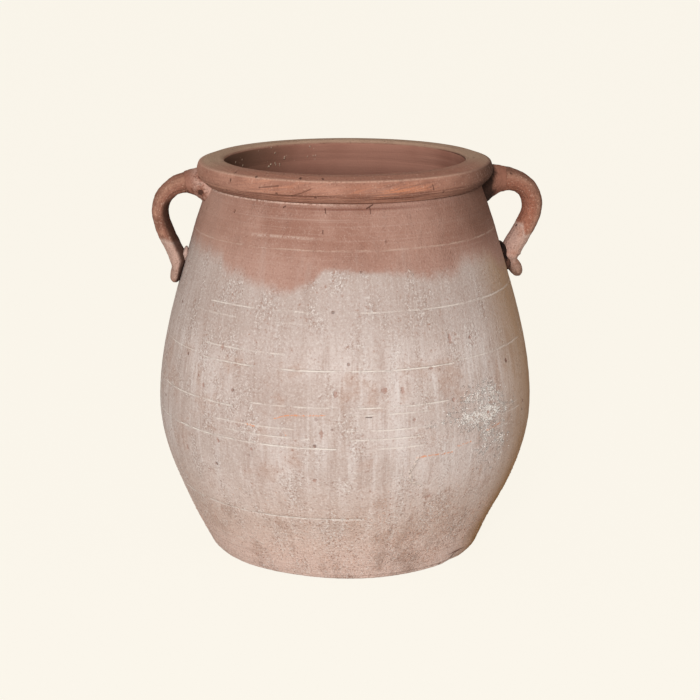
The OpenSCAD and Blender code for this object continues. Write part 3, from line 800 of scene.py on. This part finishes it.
def strap_line(reach, thick, tail_t, flick, rise, fine):
    """The middle of a strap, as distances from the axis and heights."""
    root = (neck_r - root_bite, root_z + rise - root_bite * root_climb)
    crest = (neck_r + reach, crest_z)
    landing = (outer_r(landing_z) + thick / 2 - landing_bite, landing_z)
    tip = (outer_r(tail_z) + tail_t / 2 - landing_bite + flick, tail_z)
    pull = (reach + root_bite) * bend_fullness
    drop = crest_z - landing_z
    fall = landing_z - tail_z
    line = curve(root, crest, (pull, root_climb * pull), (0, -pull), 16 * fine)
    arriving = ((landing[0] - crest[0]) * 0.45, -0.8 * drop)
    line += curve(crest, landing, (0, -drop), arriving, 12 * fine)
    leaving = (-slope(landing_z) * fall * 0.2, -fall)
    return line + curve(landing, tip, leaving, (flick - slope(tail_z) * fall, -fall), 12 * fine) + [tip]


def hand_tree():
    """Works a shaped piece of clay by hand: lumps, pull lines along it, and rough crumbs."""
    tree = bpy.data.node_groups.new("hand_worked", "GeometryNodeTree")
    tree.interface.new_socket("Shape", in_out="INPUT", socket_type="NodeSocketGeometry")
    for name in ("Lump Height", "Lump Size", "Pull Depth", "Crumb Height", "Seed"):
        tree.interface.new_socket(name, in_out="INPUT", socket_type="NodeSocketFloat")
    tree.interface.new_socket("Clay Paint", in_out="INPUT", socket_type="NodeSocketMaterial")
    tree.interface.new_socket("Clay", in_out="OUTPUT", socket_type="NodeSocketGeometry")
    given = tree.nodes.new("NodeGroupInput")
    take = {socket.name: Wire(tree, socket) for socket in given.outputs if socket.name}
    shape = take["Shape"]
    here = shape.node("GeometryNodeInputPosition", {}, {})
    normal = shape.node("GeometryNodeInputNormal", {}, {})
    pulled = shape.node("GeometryNodeInputNamedAttribute", {"data_type": "FLOAT_VECTOR"}, {"Name": "pulled"})
    shift = here.node("ShaderNodeCombineXYZ", {}, {0: take["Seed"], 1: take["Seed"]})
    lumps = (here.node("ShaderNodeVectorMath", {"operation": "SCALE"}, {0: here + shift, "Scale": take["Lump Size"]})
             .cloud(1.0, 2.0) - 0.5) * take["Lump Height"]
    lines = ((pulled + shift).cloud(1.0, 3.0, 0.6) - 0.5) * take["Pull Depth"]
    crumbs = ((here + shift).cloud(330.0, 3.0, 0.7) - 0.5) * take["Crumb Height"]
    moved = {"Geometry": shape, "Offset": normal.scaled(lumps + lines + crumbs)}
    worked = here.node("GeometryNodeSetPosition", {}, moved)
    worked = here.node("GeometryNodeSetShadeSmooth", {}, {"Geometry": worked, "Shade Smooth": True})
    worked = here.node("GeometryNodeRealizeInstances", {}, {"Geometry": worked})
    worked = here.node("GeometryNodeSetMaterial", {}, {"Geometry": worked, "Material": take["Clay Paint"]})
    result = tree.nodes.new("NodeGroupOutput")
    tree.links.new(worked.socket, result.inputs[0])
    return tree


hand_working = hand_tree()


def shaped(name, sections, material, **values):
    """A closed lump of clay through oval sections, each a centre and its two half axes."""
    points, pulled, faces = [], [], []
    run = 0.0
    for ring, (centre, half_a, half_b) in enumerate(sections):
        if ring:
            run += (centre - sections[ring - 1][0]).length
        for i in range(strap_turns):
            turn = i / strap_turns * math.tau
            points.append(centre + half_a * math.cos(turn) + half_b * math.sin(turn))
            pulled.append((strap_ring * math.cos(turn), strap_ring * math.sin(turn), run * 22))
    for ring in range(len(sections) - 1):
        for i in range(strap_turns):
            j = (i + 1) % strap_turns
            low, high = ring * strap_turns, (ring + 1) * strap_turns
            faces.append((low + i, low + j, high + j, high + i))
    for centre, first, step in ((sections[0][0], 0, 1), (sections[-1][0], len(points) - strap_turns, -1)):
        points.append(centre)
        pulled.append((0.0, 0.0, 0.0))
        for i in range(strap_turns):
            j = (i + step) % strap_turns
            faces.append((len(points) - 1, first + j, first + i))
    mesh = bpy.data.meshes.new(name + "_shape")
    mesh.from_pydata(points, [], faces)
    attribute = mesh.attributes.new("pulled", "FLOAT_VECTOR", "POINT")
    attribute.data.foreach_set("vector", [value for vector in pulled for value in vector])
    source = bpy.data.objects.new(name + "_shape", mesh)
    bpy.context.scene.collection.objects.link(source)
    return plain_mesh(source, name, hand_working, {"Clay Paint": material, **values})


def strap_sections(side, reach, thick, tail_t, flick, rise, extra=None):
    """Oval sections along a strap, on the left for side -1 and on the right for side 1."""
    fine = 5
    line = strap_line(reach, thick, tail_t, flick, rise, fine)
    sections = []
    last = len(line) - 1
    for i, (r, z) in enumerate(line):
        before, after = line[max(0, i - 1)], line[min(last, i + 1)]
        along = Vector((after[0] - before[0], 0, after[1] - before[1])).normalized()
        step = i / fine
        swell = max(0.0, 1 - step / root_share_rings) ** 1.5
        tail = max(0.0, (step - 28) / 12)
        pressed = min(1.0, tail / 0.4)
        pressed = pressed * pressed * (3 - 2 * pressed)
        closing = math.sqrt(max(0.0, 1 - (max(0.0, tail - 0.65) / 0.35) ** 2))
        half_t = (thick + root_swell * swell + (tail_t - thick) * pressed) / 2 * closing
        half_w = (strap_w + root_swell * swell) / 2 * closing
        waist = 1 - tail_pinch * math.exp(-(((tail - 0.32) / 0.16) ** 2)) * (side > 0) * (tail > 0)
        half_t, half_w = half_t * waist, half_w * waist
        if extra is not None:
            grow_t, grow_w = extra(step)
            half_t, half_w = half_t + grow_t, half_w + grow_w
        across = Vector((-along.z * side, 0, along.x)) * half_t
        sections.append((Vector((r * side, 0, z)), across, Vector((0, half_w, 0))))
    return sections


def handle_paint(place):
    """Red clay rubbed to long pale streaks, limed below the tide line, with a painted highlight along the front of
    each strap and painted light and shade on the sides of the straps.
    """
    angle, z, even = around(place)
    pulled = place.node("ShaderNodeAttribute", {"attribute_name": "pulled"}, {}, "Vector")
    streaks = pulled.cloud(1.6, 4.0, 0.6)
    clouds = place.cloud(38.0, 3.0, 0.6)
    grain = place.cloud(560.0, 3.0, 0.65)
    flecks = place.cloud(480.0, 2.0, 0.8)
    outward = pulled.along(0) / strap_ring
    toward = pulled.along(1) / strap_ring
    right = place.along(0).rise(-0.01, 0.01)
    colour = lay(clay(162, 111, 92), lay(clay(138, 94, 77), clouds, 1.0), clouds.rise(0.38, 0.6))
    colour = lay(clay(188, 140, 118), colour, streaks.rise(0.52, 0.66) * (1.0 - z.rise(0.35, 0.362) * 0.6) * 0.5)
    colour = lay(clay(112, 76, 61), colour, streaks.rise(0.47, 0.34) * 0.55)
    # Painted highlight: a pale line along the front of each strap, a little to its outer side.
    heel_wear_and_strap_highlight = toward.hump(-0.75, 0.3) * outward.hump(0.45, 0.4) * clouds.rise(0.35, 0.55)
    colour = lay(clay(206, 158, 134), colour, heel_wear_and_strap_highlight * 0.6)
    # Painted light and shade on the right handle: its side facing left is painted a brighter orange as lit, its side
    # facing right dark as shade.
    turned_right = outward * (right * 2.0 - 1.0)
    colour = lay(clay(176, 110, 86), colour, (1.0 - turned_right.rise(-0.2, 0.5)) * right * 0.5)
    colour = lay(clay(92, 62, 49), colour, turned_right.rise(0.3, 0.9) * clouds.rise(0.3, 0.6) * right * 0.75)
    colour = lay(clay(128, 88, 72), colour, z.rise(0.345, 0.36) * 0.3)
    # Painted shade: the left handle's side facing right, towards the jar, is painted near black below its root.
    shaded_inner_edge = turned_right.rise(-0.05, 0.5) * (1.0 - right) * (1.0 - z.rise(0.352, 0.364))
    tongue = (1.0 - outward.rise(-0.7, 0.3)) * right * 13.0
    edge = z * 1000 + (place.cloud(60.0, 2.0) - 0.5) * 12.0 - tongue
    bloom = 1.0 - edge.rise(311.0, 319.0)
    colour = lay(clay(206, 174, 160), colour, bloom * (0.5 + grain * 0.5))
    colour = lay(clay(226, 204, 190), colour, edge.hump(315.0, 2.0) * flecks.rise(0.36, 0.52) * 0.5)
    rubbed = bloom * clouds.rise(0.5, 0.62)
    colour = lay(clay(178, 126, 104), colour, rubbed * 0.6)
    colour = lay(clay(138, 106, 88), colour, (1.0 - z.rise(0.278, 0.296)) * (0.35 + right * 0.35))
    colour = lay(clay(110, 76, 62), colour, flecks.rise(0.57, 0.66) * 0.5)
    colour = lay(clay(228, 196, 178), colour, flecks.rise(0.42, 0.33) * 0.35)
    # Painted shade on the left handle's inner side.
    colour = lay(clay(66, 42, 32), colour, shaded_inner_edge * 0.9)
    holes = pits(place, 150.0, 0.0018, 0.1)
    colour = lay(clay(104, 70, 56), colour, holes * 0.7)
    relief = grain * 0.6 + streaks * 1.2 + flecks * 0.9 - holes
    return colour, grain * 0.1 + 0.76, relief


handle_clay = paint("handle_clay", handle_paint)
left_shape = (-1, 0.0485, 0.017, 0.011, 0.0005, 0.004)
right_shape = (1, 0.0547, 0.0205, 0.0135, 0.006, 0.0005)
hand = {"Lump Height": 0.0020, "Lump Size": 80.0, "Pull Depth": 0.0012, "Crumb Height": 0.0009}
left_handle = shaped("left_handle_visual", strap_sections(*left_shape), handle_clay, **hand, Seed=3.0)
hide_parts("left_handle")
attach(left_handle, "root")
right_handle = shaped("right_handle_visual", strap_sections(*right_shape), handle_clay, **hand, Seed=7.0)
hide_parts("right_handle")
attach(right_handle, "root")


# Round each root soft clay was worked in with the fingers, and a roll of it was pressed into the
# crotch above each tail. It dried rough and cracked a little. On the right, the root by the rim and
# the roll in the crotch are painted near black as shade.
root_rings = 6
luting_t = 0.0035


def luting_paint(place):
    """Rough smeared slip with dark crumbs, painted near black as shade on the right where the root meets the rim and
    where the roll sits in the crotch.
    """
    angle, z, even = around(place)
    smears = place.cloud(70.0, 4.0, 0.65)
    crumbs = place.cloud(420.0, 4.0, 0.7)
    pale = 1.0 - place.along(0).rise(-0.01, 0.01)
    deep = 1.0 - z.rise(0.315, 0.325)
    colour = lay(clay(176, 124, 104), lay(clay(140, 94, 78), smears, 1.0), smears.rise(0.35, 0.62))
    colour = lay(clay(204, 168, 154), colour, smears.rise(0.42, 0.58) * pale * 0.75)
    colour = lay(clay(98, 66, 53), colour, crumbs.rise(0.5, 0.38) * 0.6)
    radius = place.node("ShaderNodeVectorMath", {"operation": "LENGTH"}, {0: place * (1.0, 1.0, 0.0)}, 1)
    colour = lay(clay(212, 184, 172), colour, deep * pale * 0.75)
    edge = radius + (smears - 0.5) * 0.012
    shadowed = (1.0 - edge.rise(0.1465, 0.1525)) * (1.0 - deep) * (1.0 - pale)
    colour = lay(clay(150, 102, 84), colour, edge.rise(0.148, 0.158) * (1.0 - deep) * 0.85)
    colour = lay(clay(30, 19, 14), colour, shadowed * 0.9)
    # Painted shade: the right tail roll, deep in the crotch against the wall, is painted near black.
    colour = lay(clay(24, 15, 12), colour, deep * (1.0 - pale) * (smears.rise(0.6, 0.5) * 0.25 + 0.72))
    colour = lay(clay(70, 46, 38), colour, smears.rise(0.44, 0.36) * pale * 0.8)
    return colour, crumbs * 0.1 + 0.82, crumbs * 1.2 + smears * 0.6


def root_extra(step):
    """How much the soft clay stands out from the strap, in its thickness and its width."""
    share = max(0.0, 1 - step / root_rings)
    flare = math.exp(-(((step - 3.0) / 1.6) ** 2)) * share**0.5
    return 0.0003 + luting_t * share**1.3, 0.0003 + 2.4 * luting_t * share**1.6 + 0.0035 * flare


def roll_sections(side):
    """A roll pressed flat in the crotch, across the strap, with blunt ends."""
    left = side < 0
    middle_z, tall, deep, half = (0.301, 0.0085, 0.0028, 0.0085) if left else (0.294, 0.0150, 0.0046, 0.0115)
    centre = Vector(((outer_r(middle_z) + 0.002) * side, 0, middle_z))
    lying = Vector((-slope(middle_z) * side, 0, -1)).normalized()
    sections = []
    for i in range(41):
        share = i / 20 - 1
        blunt = (1 - abs(share) ** 3.5) ** (1 / 3.5)
        middle = centre + Vector((0, half * share, 0))
        sections.append((middle, Vector((lying.z * -side, 0, lying.x * side)) * deep * blunt, lying * tall * blunt))
    return sections


luting_clay = paint("luting_clay", luting_paint)
rough = {"Lump Height": 0.0016, "Lump Size": 160.0, "Pull Depth": 0.0003, "Crumb Height": 0.0009}
for name, shape, seed in (("left", left_shape, 11.0), ("right", right_shape, 13.0)):
    sleeve = strap_sections(*shape, root_extra)[: root_rings * 5 + 1]
    collar = shaped(name + "_root_luting_visual", sleeve, luting_clay, **rough, Seed=seed)
    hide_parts(name + "_root_luting")
    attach(collar, "root")
    roll = shaped(name + "_tail_luting_visual", roll_sections(shape[0]), luting_clay, **rough, Seed=seed + 1)
    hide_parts(name + "_tail_luting")
    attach(roll, "root")


# The jar stands on a wide cream sheet under one large soft light from the front left and an even
# fill from all round, as in a catalogue photo.
cream = clay(253, 248, 237)
camera_place = Vector((-0.1589, -1.7046, 0.6419))
camera_aim = Vector((0.0052, -0.0005, 0.1977))
lens_mm = 88.6
sensor_mm = 36.0

bpy.ops.mesh.primitive_plane_add(size=60.0, location=(0, 0, -0.0002))
sheet = bpy.context.active_object
sheet.name = "sheet"
paper = bpy.data.materials.new("paper")
paper.use_nodes = True
paper_tree = paper.node_tree
paper_surface = paper_tree.nodes["Principled BSDF"]
paper_surface.inputs["Base Color"].default_value = clay(238, 236, 233)
paper_surface.inputs["Roughness"].default_value = 1.0
paper_surface.inputs["Specular IOR Level"].default_value = 0.0
lit = Wire(paper_tree, paper_surface.outputs[0])
glow = lit.node("ShaderNodeEmission", {}, {"Color": cream, "Strength": 1.0})
seen = lit.node("ShaderNodeLightPath", {}, {}, "Is Camera Ray")
mixed = lit.node("ShaderNodeMixShader", {}, {0: seen * 0.95, 1: lit, 2: glow})
paper_tree.links.new(mixed.socket, paper_tree.nodes["Material Output"].inputs["Surface"])
sheet.data.materials.append(paper)

world = bpy.data.worlds.new("studio")
world.use_nodes = True
world_tree = world.node_tree
fill = Wire(world_tree, world_tree.nodes["Background"].outputs[0])
world_tree.nodes["Background"].inputs["Color"].default_value = clay(255, 246, 236)
world_tree.nodes["Background"].inputs["Strength"].default_value = 0.43
backdrop = fill.node("ShaderNodeBackground", {}, {"Color": cream, "Strength": 0.97})
seen = fill.node("ShaderNodeLightPath", {}, {}, "Is Camera Ray")
sky = fill.node("ShaderNodeMixShader", {}, {0: seen, 1: fill, 2: backdrop})
world_tree.links.new(sky.socket, world_tree.nodes["World Output"].inputs["Surface"])
bpy.context.scene.world = world


def lamp(name, place, size, watts):
    """A soft round light that looks at the jar."""
    light = bpy.data.lights.new(name, "AREA")
    light.shape = "DISK"
    light.size = size
    light.energy = watts
    holder = bpy.data.objects.new(name, light)
    holder.location = place
    holder.rotation_euler = (Vector((0, 0, 0.22)) - holder.location).to_track_quat("-Z", "Y").to_euler()
    bpy.context.scene.collection.objects.link(holder)


lamp("key", (-0.85, -3.2, 1.42), 0.8, 76.0)

view = bpy.data.cameras.new("camera")
view.lens = lens_mm
view.sensor_width = sensor_mm
view.clip_end = 200.0
camera = bpy.data.objects.new("camera", view)
camera.location = camera_place
camera.rotation_euler = (camera_aim - camera_place).to_track_quat("-Z", "Y").to_euler()
bpy.context.scene.collection.objects.link(camera)
bpy.context.scene.camera = camera
bpy.context.scene.view_settings.view_transform = "Standard"
